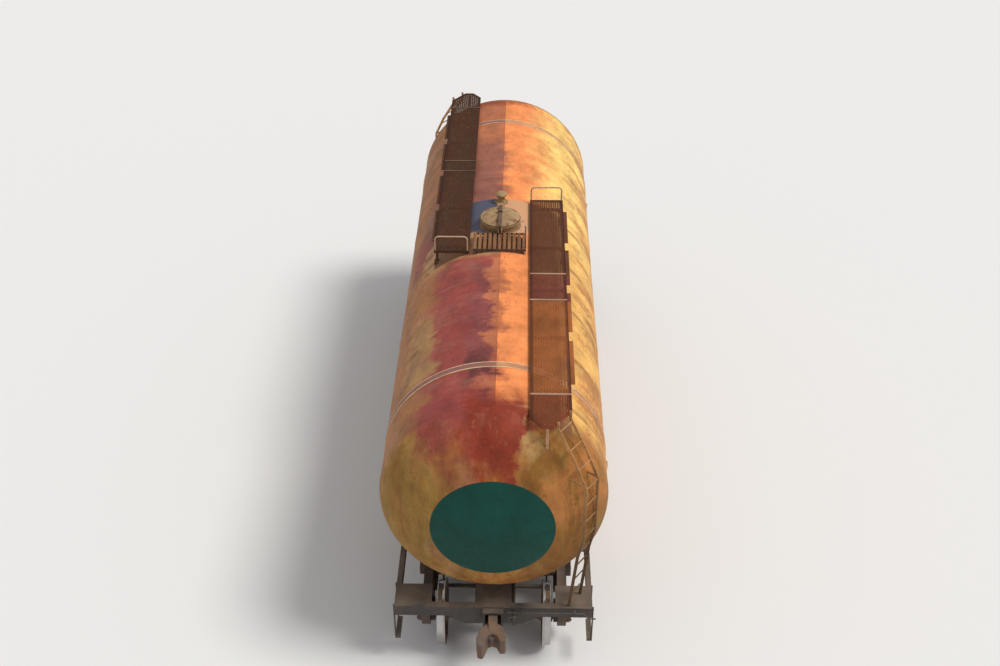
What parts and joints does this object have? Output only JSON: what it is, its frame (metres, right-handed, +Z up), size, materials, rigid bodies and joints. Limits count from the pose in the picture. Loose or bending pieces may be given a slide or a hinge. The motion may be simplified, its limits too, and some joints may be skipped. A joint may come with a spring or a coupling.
{
  "type": "railway tank car",
  "caption": "Bogie railway tank car: domed cylindrical tank strapped to a steel frame, top walkways, hinged hatch, end ladders, swinging automatic couplers and turning wheelsets.",
  "frame": {"origin": "on the floor under the middle of the car, halfway between the ends and between the sides", "axes": "+X along the car, +Y to its side, +Z up"},
  "size_m": [12.1996, 3.327, 4.7843],
  "materials": {
    "tank_paint": "weathered orange paint, rust blotches",
    "walkway_steel": "rusty dark brown paint",
    "frame_paint": "dull black-brown paint",
    "hatch_paint": "faded cream-olive paint",
    "cast_steel": "rust-brown casting",
    "wheel_steel": "brown wheel with a worn tread",
    "axle_steel": "dull oiled steel",
    "spring_steel": "dark scaled steel",
    "brake_paint": "dull black paint with grime",
    "saddle_steel": "brown paint over plate and timber"
  },
  "bodies": {
    "car": {"centre_sill": "frame_paint", "bolster_beams": "frame_paint", "end_beams": "frame_paint", "side_sills": "frame_paint", "draft_gear": "cast_steel", "tank_barrel": "tank_paint", "manhole_neck": "hatch_paint", "safety_valve": "hatch_paint", "tank_saddles": "saddle_steel", "tank_feet": "saddle_steel", "tank_straps": "tank_paint", "walkway_right": "walkway_steel", "walkway_left": "walkway_steel", "walkway_brackets": "walkway_steel", "end_hoops": "walkway_steel", "hatch_platform": "walkway_steel", "ladder_right": "walkway_steel", "ladder_left": "walkway_steel", "corner_steps": "frame_paint", "bottom_outlet": "brake_paint", "brake_cylinder": "brake_paint", "air_reservoir": "brake_paint", "brake_pipe": "brake_paint", "brake_rods": "brake_paint", "hand_brake": "brake_paint", "uncoupling_rods": "brake_paint"},
    "bogie_front": {"bolster_front": "cast_steel", "side_frames_front": "cast_steel", "springs_front": "spring_steel", "axle_boxes_front": "cast_steel", "brake_beams_front": "brake_paint"},
    "bogie_rear": {"bolster_rear": "cast_steel", "side_frames_rear": "cast_steel", "springs_rear": "spring_steel", "axle_boxes_rear": "cast_steel", "brake_beams_rear": "brake_paint"},
    "wheelset_1": {"wheels_1": "wheel_steel", "axle_1": "axle_steel"},
    "wheelset_2": {"wheels_2": "wheel_steel", "axle_2": "axle_steel"},
    "wheelset_3": {"wheels_3": "wheel_steel", "axle_3": "axle_steel"},
    "wheelset_4": {"wheels_4": "wheel_steel", "axle_4": "axle_steel"},
    "hatch": {"hatch_lid": "hatch_paint", "hatch_clamp": "walkway_steel"},
    "outlet_cap": {"outlet_cap": "brake_paint"},
    "coupler_front": {"coupler_front": "cast_steel"},
    "coupler_rear": {"coupler_rear": "cast_steel"}
  },
  "joints": [
    {"name": "bogie_front_swivel", "type": "hinge", "parent": "car", "child": "bogie_front", "pos_m": [3.9, 0, 0.829], "axis": [0, 0, 1], "range_deg": [-4, 4]},
    {"name": "bogie_rear_swivel", "type": "hinge", "parent": "car", "child": "bogie_rear", "pos_m": [-3.9, 0, 0.829], "axis": [0, 0, 1], "range_deg": [-4, 4]},
    {"name": "wheelset_1_roll", "type": "hinge", "parent": "bogie_front", "child": "wheelset_1", "pos_m": [4.825, 0, 0.5065], "axis": [0, 1, 0], "continuous": true},
    {"name": "wheelset_2_roll", "type": "hinge", "parent": "bogie_front", "child": "wheelset_2", "pos_m": [2.975, 0, 0.5065], "axis": [0, 1, 0], "continuous": true},
    {"name": "wheelset_3_roll", "type": "hinge", "parent": "bogie_rear", "child": "wheelset_3", "pos_m": [-2.975, 0, 0.5065], "axis": [0, 1, 0], "continuous": true},
    {"name": "wheelset_4_roll", "type": "hinge", "parent": "bogie_rear", "child": "wheelset_4", "pos_m": [-4.825, 0, 0.5065], "axis": [0, 1, 0], "continuous": true},
    {"name": "hatch_hinge", "type": "hinge", "parent": "car", "child": "hatch", "pos_m": [-0.392, 0, 4.652], "axis": [0, -1, 0], "range_deg": [0, 105]},
    {"name": "outlet_cap_hinge", "type": "hinge", "parent": "car", "child": "outlet_cap", "pos_m": [-0.178, 0, 0.654], "axis": [0, 1, 0], "range_deg": [0, 90]},
    {"name": "coupler_front_swing", "type": "hinge", "parent": "car", "child": "coupler_front", "pos_m": [5.12, 0, 1.088], "axis": [0, 0, 1], "range_deg": [-7, 7]},
    {"name": "coupler_rear_swing", "type": "hinge", "parent": "car", "child": "coupler_rear", "pos_m": [-5.12, 0, 1.088], "axis": [0, 0, 1], "range_deg": [-7, 7]}
  ]
}
